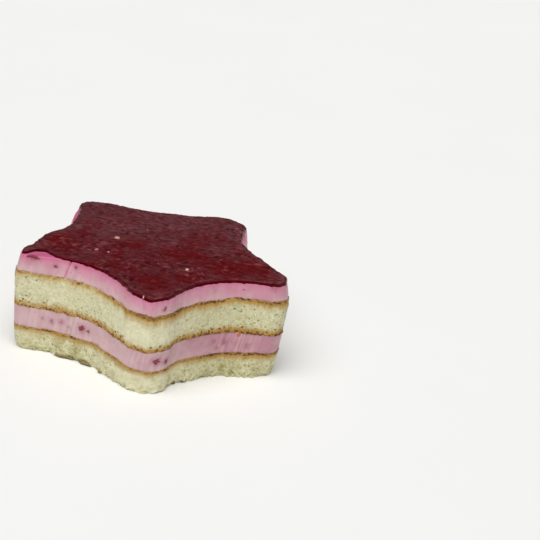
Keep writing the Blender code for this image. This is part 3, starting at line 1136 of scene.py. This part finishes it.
@dataclass(frozen=True)
class SpongeCrumb(Finish):
    """Baked genoise: a matt cream crumb with painted olive shade in its pores and olive smudging that is partly
    painted shade, browned to amber and dark brown at its faces.
    """

    crumb: str = "C9C398"
    pale_crumb: str = "E3E0BF"
    pore_shade: str = "7D7440"
    # painted shade in a pore
    olive: str = "A09A5E"
    amber: str = "AE8844"
    brown: str = "603610"

    def paint(self, tree: Tree, place: Socket) -> Painted:
        """Curdled crumb, then olive smudging and painted shade, painted shade in the pores, amber and brown over it.
        """
        patch = add_node(tree, "TexNoise", {"Vector": place, "Scale": per_metre(1.5), "Detail": 5.0})
        grain = add_node(tree, "TexNoise", {"Vector": place, "Scale": per_metre(0.55), "Detail": 3.0})
        toast, pore_shade, fine, smudge_and_shade = (
            add_node(tree, "Attribute", out="Fac", attribute_name=field)
            for field in ("toast", "pore_shade", "fine", "smudge_and_shade")
        )
        curdled = add_node(tree, "MapRange", {"Value": patch, "From Min": 0.25, "From Max": 0.75})
        blotch = add_node(tree, "Math", {0: curdled, 1: fine}, operation="ADD", use_clamp=True)
        # painted shade: grain speckles take the pore's shade colour as well as the pores
        pored = add_node(tree, "MapRange", {"Value": grain, "From Min": 0.52, "From Max": 0.74, "To Max": 0.6})
        spaced = add_node(tree, "Math", {0: pored, 1: fine}, operation="SUBTRACT")
        opened = add_node(tree, "Math", {0: spaced, 1: pore_shade}, operation="MAXIMUM")
        pore_shade_share = add_node(tree, "Math", {0: opened, 1: 0.8}, operation="MULTIPLY")
        uneven = add_node(
            tree, "MapRange", {"Value": grain, "From Min": 0.3, "From Max": 0.7, "To Min": 0.85, "To Max": 1.15}
        )
        browned = add_node(tree, "Math", {0: toast, 1: uneven}, operation="MULTIPLY")
        steps = [{"Value": browned, "From Min": low, "From Max": high} for low, high in ((0.02, 0.5), (0.45, 1.05))]
        to_amber, to_brown = (add_node(tree, "MapRange", step, interpolation_type="SMOOTHSTEP") for step in steps)
        coats = (
            (blotch, self.pale_crumb),
            (smudge_and_shade, self.olive),
            (pore_shade_share, self.pore_shade),
            (to_amber, self.amber),
            (to_brown, self.brown),
        )
        bump = add_node(tree, "Bump", {"Height": grain, "Strength": 0.5, "Distance": 0.15 * MM})
        return linear(self.crumb), coats, bump


@dataclass(frozen=True)
class BerryMousse(Finish):
    """Set raspberry mousse: pink, with a soft sheen, deeper where the glaze's juice has soaked in, with painted light
    and shade along its cutter lines and painted shade on its right arm.
    """

    pale: str = "D0AFB2"
    pink: str = "B98592"
    juicy: str = "C45084"
    pulp: str = "8C2F4C"

    def paint(self, tree: Tree, place: Socket) -> Painted:
        """Clouded pink, darker pink in rosy patches and as painted shade on the right arm, with cutter lines painted
        lighter on their ridges and darker in their grooves, then juice and flecks of fruit over it.
        """
        cloud = add_node(tree, "TexNoise", {"Vector": place, "Scale": per_metre(4.0), "Detail": 3.0})
        fine = add_node(tree, "TexNoise", {"Vector": place, "Scale": per_metre(0.5), "Detail": 2.0})
        specks = add_node(tree, "TexVoronoi", {"Vector": place, "Scale": per_metre(2.6)}, "Distance")
        juice, streak_shading, rosy_and_shade, pulp = (
            add_node(tree, "Attribute", out="Fac", attribute_name=field)
            for field in ("juice", "streak_shading", "rosy_and_shade", "pulp")
        )
        clouded = add_node(
            tree, "MapRange", {"Value": cloud, "From Min": 0.3, "From Max": 0.7, "To Min": -0.12, "To Max": 0.12}
        )
        tint = add_node(tree, "Math", {0: rosy_and_shade, 1: clouded}, operation="ADD", use_clamp=True)
        mixed = {0: tint, MIX_A: linear(self.pale), MIX_B: linear(self.pink)}
        body = add_node(tree, "Mix", mixed, MIX_RESULT, data_type="RGBA")
        dragged = add_node(tree, "MapRange", {"Value": streak_shading, "To Min": 0.8, "To Max": 1.2})
        streaked = add_node(tree, "VectorMath", {0: body, "Scale": dragged}, operation="SCALE")
        dot = add_node(
            tree, "MapRange", {"Value": specks, "From Min": 0.06, "From Max": 0.14, "To Min": 0.4, "To Max": 0.0}
        )
        fruit = add_node(tree, "Math", {0: dot, 1: pulp}, operation="MAXIMUM")
        bump = add_node(tree, "Bump", {"Height": fine, "Strength": 0.25, "Distance": 0.05 * MM})
        return streaked, ((juice, self.juicy), (fruit, self.pulp)), bump


@dataclass(frozen=True)
class BerryJelly(Finish):
    """Set berry glaze: a dark wine-red jelly, glossy, redder where it is clear, greyed by painted sheen, with painted
    shade in its creases and on its side band and painted highlights on its folds.
    """

    edge_glint: str = "B04850"
    wine: str = "590C13"
    clear: str = "600206"
    # painted sheen
    sheen_grey: str = "673B40"
    # painted shade on the glaze's side band
    rim_shade: str = "4A050A"
    # painted shade in the creases of the ripples
    crease_shade: str = "340408"
    # painted highlight on the folds of the ripples
    fold_highlight: str = "7C4248"

    def paint(self, tree: Tree, place: Socket) -> Painted:
        """Wine red, then clear patches, painted sheen, painted shade in the creases, painted highlights on the folds
        and painted shade on the side band over it.
        """
        mottle = add_node(tree, "TexNoise", {"Vector": place, "Scale": per_metre(2.2), "Detail": 4.0})
        fine = add_node(tree, "TexNoise", {"Vector": place, "Scale": per_metre(0.9), "Detail": 3.0})
        clear, painted_sheen, rim_shade, ripple_shading = (
            add_node(tree, "Attribute", out="Fac", attribute_name=field) for field in ("clear", "painted_sheen", "rim_shade", "ripple_shading")
        )
        broken = add_node(
            tree, "MapRange", {"Value": mottle, "From Min": 0.35, "From Max": 0.65}, interpolation_type="SMOOTHSTEP"
        )
        greyed = add_node(tree, "MapRange", {"Value": broken, "To Min": 0.35, "To Max": 0.9})
        sheened = add_node(tree, "Math", {0: painted_sheen, 1: greyed}, operation="MULTIPLY")
        # painted shade in the creases and painted highlights on the folds, from the ripple shape
        crease_shading, highlighted = (
            add_node(
                tree, "MapRange", {"Value": ripple_shading, "From Min": low, "From Max": high, "To Min": start, "To Max": end}
            )
            for low, high, start, end in ((0.08, 0.6, 1.0, 0.0), (0.66, 1.0, 0.0, 0.9))
        )
        coats = (
            (clear, self.clear),
            (sheened, self.sheen_grey),
            (crease_shading, self.crease_shade),
            (highlighted, self.fold_highlight),
            (rim_shade, self.rim_shade),
        )
        bump = add_node(tree, "Bump", {"Height": fine, "Strength": 0.3, "Distance": 0.1 * MM})
        return linear(self.wine), coats, bump


@dataclass(frozen=True)
class Fruit(Finish):
    """Crushed raspberry set in the mousse: dark crimson, wet and uneven."""

    dark: str = "6C1A30"
    bright: str = "A04454"

    def paint(self, tree: Tree, place: Socket) -> Painted:
        """Two reds, clouded."""
        cloud = add_node(tree, "TexNoise", {"Vector": place, "Scale": per_metre(0.9), "Detail": 3.0})
        return linear(self.dark), ((cloud, self.bright),), None


@dataclass(frozen=True)
class ToastedAndShadedCrumb(Finish):
    """Crumb broken off the foot: dry and matt, dark brown low down, partly its baked underside and partly painted
    shade where it meets the board, and cream above.
    """

    crumb: str = "9C8C5C"
    brown: str = "4E3818"
    # brown up to these heights: partly baked crust, partly painted shade where the flake meets the board
    dark_from: float = 0.15
    dark_to: float = 1.6

    def paint(self, tree: Tree, place: Socket) -> Painted:
        """Brown at the board, partly baked crust and partly painted shade, clouded into crumb further up."""
        cloud = add_node(tree, "TexNoise", {"Vector": place, "Scale": per_metre(1.2), "Detail": 3.0})
        height = add_node(tree, "SeparateXYZ", {"Vector": place}, "Z")
        bounds = {"From Min": self.dark_from * MM, "From Max": self.dark_to * MM, "To Min": -0.35, "To Max": 0.75}
        above = add_node(tree, "MapRange", {"Value": height, **bounds})
        share = add_node(tree, "Math", {0: cloud, 1: above}, operation="ADD", use_clamp=True)
        bump = add_node(tree, "Bump", {"Height": cloud, "Strength": 0.6, "Distance": 0.2 * MM})
        return linear(self.brown), ((share, self.crumb),), bump


@dataclass(frozen=True)
class SeedCoat(Finish):
    """Raspberry seed: a pale straw coat, hard and faintly pitted, pink where the jelly wets it."""

    straw: str = "D6AE98"
    wet: str = "A86E6C"

    def paint(self, tree: Tree, place: Socket) -> Painted:
        """Straw with wet patches."""
        cloud = add_node(tree, "TexNoise", {"Vector": place, "Scale": per_metre(0.6), "Detail": 2.0})
        share = add_node(tree, "MapRange", {"Value": cloud, "From Min": 0.45, "From Max": 0.7})
        bump = add_node(tree, "Bump", {"Height": cloud, "Strength": 0.4, "Distance": 0.08 * MM})
        return linear(self.straw), ((share, self.wet),), bump


@dataclass(frozen=True)
class TableTop(Finish):
    """A smooth white laminate table, plain and matt."""

    white: str = "F4F4F2"
    grey: str = "F0F0EE"

    def paint(self, tree: Tree, place: Socket) -> Painted:
        """Two whites, clouded."""
        cloud = add_node(tree, "TexNoise", {"Vector": place, "Scale": per_metre(120.0)})
        return linear(self.white), ((cloud, self.grey),), None


# The studio.


@dataclass(frozen=True)
class Lamp:
    """A broad soft light from one bearing and height, in degrees; bearing 0 is behind the camera."""

    name: str
    bearing: float
    height: float
    strength: float
    breadth: float

    def build(self) -> None:
        """Add the light."""
        bpy.ops.object.light_add(type="SUN", location=(0, 0, 1))
        lamp = bpy.context.object
        lamp.name = self.name
        lamp.data.energy = self.strength
        lamp.data.angle = math.radians(self.breadth)
        bearing, height = math.radians(self.bearing), math.radians(self.height)
        level = Vector((math.sin(bearing), -math.cos(bearing), 0.0)) * math.cos(height)
        towards = level + Vector((0.0, 0.0, math.sin(height)))
        lamp.rotation_euler = towards.to_track_quat("Z", "Y").to_euler()


@dataclass(frozen=True)
class Studio:
    """The table, sized in metres, the lights, and the camera, with its eye in millimetres and angles in degrees."""

    table_size: float = 14.0
    table_cuts: int = 3
    eye: tuple[float, float, float] = (42.7, -593.65, 283.1)
    pitch: float = 22.47
    roll: float = 7.32
    lens: float = 112.86
    sensor: float = 36.0
    clip: tuple[float, float] = (0.01, 50.0)
    world: float = 0.04
    lamps: tuple[Lamp, ...] = (
        Lamp("key", -17.0, 61.0, 2.95, 60.0),
        Lamp("fill", 50.0, 55.0, 0.5, 90.0),
        Lamp("rear", 180.0, 58.0, 0.15, 56.0),
    )

    def add_table(self) -> None:
        """Add the table top."""
        bpy.ops.mesh.primitive_plane_add(size=self.table_size, location=(0, 0, 0))
        table = bpy.context.object
        table.name = "table"
        bpy.ops.object.mode_set(mode="EDIT")
        bpy.ops.mesh.subdivide(number_cuts=self.table_cuts)
        bpy.ops.object.mode_set(mode="OBJECT")
        table.data.materials.append(TableTop("matt_white_laminate", 0.9).make())

    def add_camera(self) -> None:
        """Add the camera where the photograph was taken from."""
        bpy.ops.object.camera_add(location=Vector(self.eye) * MM)
        camera = bpy.context.object
        camera.data.sensor_width = self.sensor
        camera.data.lens = self.lens
        camera.data.clip_start, camera.data.clip_end = self.clip
        pitch, roll = math.radians(self.pitch), math.radians(self.roll)
        right = Vector((math.cos(roll), math.sin(roll) * math.sin(pitch), math.sin(roll) * math.cos(pitch)))
        up = Vector((-math.sin(roll), math.cos(roll) * math.sin(pitch), math.cos(roll) * math.cos(pitch)))
        back = Vector((0, -math.cos(pitch), math.sin(pitch)))
        camera.rotation_euler = Matrix((right, up, back)).transposed().to_euler()
        bpy.context.scene.camera = camera

    def add_world(self) -> None:
        """Fill the room with a dim even light."""
        world = bpy.data.worlds.new("room")
        world.use_nodes = True
        back = world.node_tree.nodes["Background"]
        back.inputs["Color"].default_value = linear("FFFFFF")
        back.inputs["Strength"].default_value = self.world
        bpy.context.scene.world = world
        bpy.context.scene.view_settings.view_transform = "Standard"

    def build(self) -> None:
        """Build the whole studio."""
        self.add_camera()
        self.add_table()
        self.add_world()
        for lamp in self.lamps:
            lamp.build()


# The scraps, and the whole cake.


@dataclass(frozen=True)
class Scrap:
    """A scrap of fruit, seed or crumb: where it lies, its size and how it is turned, in degrees."""

    name: str
    x: float
    y: float
    z: float
    length: float
    height: float
    depth: float
    turn: float = 0.0
    bend: float = 0.0
    roughness: float = 0.2
    detail: int = 4

    def shape(self) -> bpy.types.Object:
        """Model the scrap at the origin: a lumpy ball, squeezed and bent."""
        bpy.ops.mesh.primitive_ico_sphere_add(subdivisions=self.detail, radius=0.5)
        scrap = bpy.context.object
        scrap.name = self.name
        scrap.data.name = self.name
        for vert in scrap.data.vertices:
            lump = noise.noise(vert.co * SCRAP_LUMPS + Vector((self.x, self.y, self.z)))
            vert.co *= 1 + self.roughness * 2 * lump
            vert.co = Vector((vert.co.x * self.length, vert.co.y * self.depth, vert.co.z * self.height))
            vert.co.z += self.bend * (vert.co.x / self.length) ** 2
        return scrap

    def settle(self, scrap: bpy.types.Object, place: Matrix) -> bpy.types.Object:
        """Move the scrap's mesh to its place and leave its object at the origin."""
        scrap.data.transform(Matrix.Scale(MM, 4) @ place)
        scrap.data.update()
        return scrap

    def on_side(self) -> bpy.types.Object:
        """Model the scrap set in the cut side, with its length along the side."""
        place, facing = side_place(self.x, self.y, self.z)
        out = Vector(facing)
        along = Vector((-out.y, out.x, 0.0))
        turned = Matrix((along, -out, Vector((0, 0, 1)))).transposed().to_4x4()
        tilt = Matrix.Rotation(math.radians(self.turn), 4, "Y")
        return self.settle(self.shape(), Matrix.Translation(Vector(place)) @ turned @ tilt)

    def on_top(self) -> bpy.types.Object:
        """Model the scrap lying on the glaze, its middle at its own height above it."""
        level = float(FORM.seam(GLAZE_TOP, np.array([(self.x, self.y)]) + MIDDLE)[0]) + self.z
        turned = Matrix.Rotation(math.radians(self.turn), 4, "Z")
        return self.settle(self.shape(), Matrix.Translation((self.x, self.y, level)) @ turned)


FRUIT = (
    Scrap("berry_flake_1", -44.4, -18.7, 38.8, 5.0, 1.0, 1.2, 6.0, -1.6, 0.35),
    Scrap("berry_flake_2", -36.0, -19.5, 36.2, 1.1, 0.8, 0.5, 20.0, 0.0, 0.3),
    Scrap("berry_flake_3", -28.1, -20.9, 37.4, 1.3, 0.5, 0.4, 0.0, 0.0, 0.3),
    Scrap("berry_flake_4", 33.8, -19.9, 36.6, 1.0, 0.7, 0.4, 0.0, 0.0, 0.2),
    Scrap("berry_flake_5", -23.7, -23.3, 14.8, 1.8, 2.1, 0.6, 30.0, 0.0, 0.45),
    Scrap("berry_flake_6", 6.7, -43.2, 14.1, 2.2, 1.6, 0.5, 0.0, 0.0, 0.45),
    Scrap("berry_flake_7", 9.8, -40.3, 13.3, 1.3, 1.9, 0.5, -20.0, 0.0, 0.4),
    Scrap("berry_flake_9", 7.6, -43.0, 35.3, 0.5, 2.0, 0.3, 20.0, 0.0, 0.3),
    Scrap("berry_flake_8", -20.6, -24.0, 14.3, 0.9, 0.7, 0.4, 0.0, 0.0, 0.3),
)
# a pale fleck of mousse set where a highlight shows: a painted highlight
HIGHLIGHT_FLECKS = (Scrap("mousse_highlight_fleck", -0.9, -44.3, 39.0, 0.4, 1.1, 0.3, 12.0, 0.0, 0.35),)
SCUFFS = (
    Scrap("glaze_scuff_1", 27.6, 31.7, 0.05, 2.0, 0.5, 1.1, -35.0, 0.0, 0.4, 3),
    Scrap("glaze_scuff_2", 29.2, 28.6, 0.0, 1.2, 0.5, 0.9, 10.0, 0.0, 0.4, 3),
)
CRUMBS = (
    Scrap("foot_flake_1", -30.6, -22.6, 0.7, 6.6, 0.9, 2.0, 3.0, 0.0, 0.45),
    Scrap("foot_flake_2", -21.4, -25.0, 0.6, 5.6, 0.9, 1.8, 0.0, 0.0, 0.45),
    Scrap("foot_flake_3", -14.8, -29.4, 0.8, 2.4, 1.4, 1.8, 0.0, 0.0, 0.4),
    Scrap("foot_flake_4", 14.0, -33.0, 0.4, 1.6, 0.6, 1.0, 0.0, 0.0, 0.4),
    Scrap("foot_flake_5", 16.8, -29.6, 0.5, 2.0, 0.7, 1.0, 0.0, 0.0, 0.4),
)
STRAY_CRUMBS = (Scrap("stray_crumb", 34.4, -20.1, 18.7, 1.4, 2.2, 0.7, 15.0, 0.0, 0.3),)
SEEDS = (
    Scrap("seed_1", -16.6, 5.5, 0.25, 2.1, 1.0, 1.4, 10.0, 0.0, 0.12),
    Scrap("seed_2", 12.3, -17.0, 0.2, 1.4, 1.0, 1.4, 55.0, 0.0, 0.1),
)
SUNKEN_SEEDS = (
    Scrap("seed_3", -18.1, -9.0, 0.1, 1.0, 0.7, 0.8, -25.0, 0.0, 0.2),
    Scrap("seed_4", -22.7, -8.1, 0.1, 1.4, 0.7, 0.7, 20.0, 0.0, 0.2),
    Scrap("seed_5", -6.5, 17.6, -0.02, 0.6, 0.5, 0.5, 80.0, 0.0, 0.2),
)


def fit_out(piece: bpy.types.Object, finish: bpy.types.Material) -> None:
    """Give a piece its material and its body.

    Args:
        piece: the finished piece.
        finish: its material.
    """
    piece.data.materials.clear()
    piece.data.materials.append(finish)
    piece.data.shade_smooth()
    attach(piece, BODY)
    LOG.info("%s: %d faces", piece.name, len(piece.data.polygons))


class Entremet:
    """The whole cake, from the board up."""

    def build(self) -> None:
        """Build every layer."""
        sponge = SpongeCrumb("baked_genoise_crumb", 0.9, bleed=0.12, bleed_reach=1.2).make()
        mousse = BerryMousse("set_raspberry_mousse", 0.42, bleed=0.25, bleed_reach=1.6).make()
        jelly = BerryJelly("set_berry_jelly", 0.16, ior=1.34).make()
        SpongeSheet(
            "sponge_lower",
            BOARD,
            LOWER_CRUST,
            levels=42,
            browned_under=False,
            crumb_draw=40.0,
            browning=((-50.0, 0.52), (-20.0, 0.58), (-8.0, 0.5), (8.0, 0.5), (25.0, 0.78)),
        ).build(sponge)
        MousseLayer(
            "mousse_lower", LOWER_CRUST, UPPER_CRUMB, streaked=STREAKED_LOWER, stains=LOWER_STAINS
        ).build(mousse)
        SpongeSheet("sponge_upper", UPPER_CRUMB, UPPER_CRUST, tip_crust=0.8).build(sponge)
        MousseLayer(
            "mousse_upper",
            UPPER_CRUST,
            MOUSSE_TOP,
            levels=24,
            juice_depth=2.9,
            right_arm_shade=0.28,
            scratches=KNIFE_MARKS,
            swollen=UPPER_SWELLINGS,
            stains=UPPER_STAINS,
        ).build(mousse)
        BerryGlaze("berry_glaze", MOUSSE_TOP, GLAZE_TOP).build(jelly)

    def scatter(self) -> None:
        """Set the fruit, a pale fleck standing for a painted highlight, and crumbs in the cut side, and the scuffs
        and seeds in the glaze.
        """
        highlight_fleck = Fruit("pale_fleck_painted_highlight", 0.5, dark="C8A0AC", bright="E4CED2")
        scuff = Fruit("scuffed_berry_jelly", 0.4, dark="7C2838", bright="A85C6C")
        wet_seed = SeedCoat("wet_raspberry_seed_coat", 0.3, straw="C2908A", wet="8E4A50")
        for scraps, lay, finish, slot in (
            (FRUIT, Scrap.on_side, Fruit("crushed_raspberry", 0.6), Slot.MOUSSE),
            (HIGHLIGHT_FLECKS, Scrap.on_side, highlight_fleck, Slot.MOUSSE),
            (SCUFFS, Scrap.on_top, scuff, Slot.GLAZE),
            (CRUMBS, Scrap.on_side, ToastedAndShadedCrumb("toasted_and_shaded_genoise_crumb", 0.85), Slot.SPONGE),
            (STRAY_CRUMBS, Scrap.on_side, ToastedAndShadedCrumb("amber_genoise_crumb", 0.8, crumb="B87440"), Slot.SPONGE),
            (SEEDS, Scrap.on_top, SeedCoat("raspberry_seed_coat", 0.45), Slot.GLAZE),
            (SUNKEN_SEEDS, Scrap.on_top, wet_seed, Slot.GLAZE),
        ):
            made = finish.make()
            for scrap in scraps:
                fit_out(lay(scrap), made)


def main() -> None:
    """Build the studio and the cake."""
    logging.basicConfig(level=logging.INFO, format="%(message)s")
    Studio().build()
    cake = Entremet()
    cake.build()
    cake.scatter()


if __name__ == "__main__":
    main()
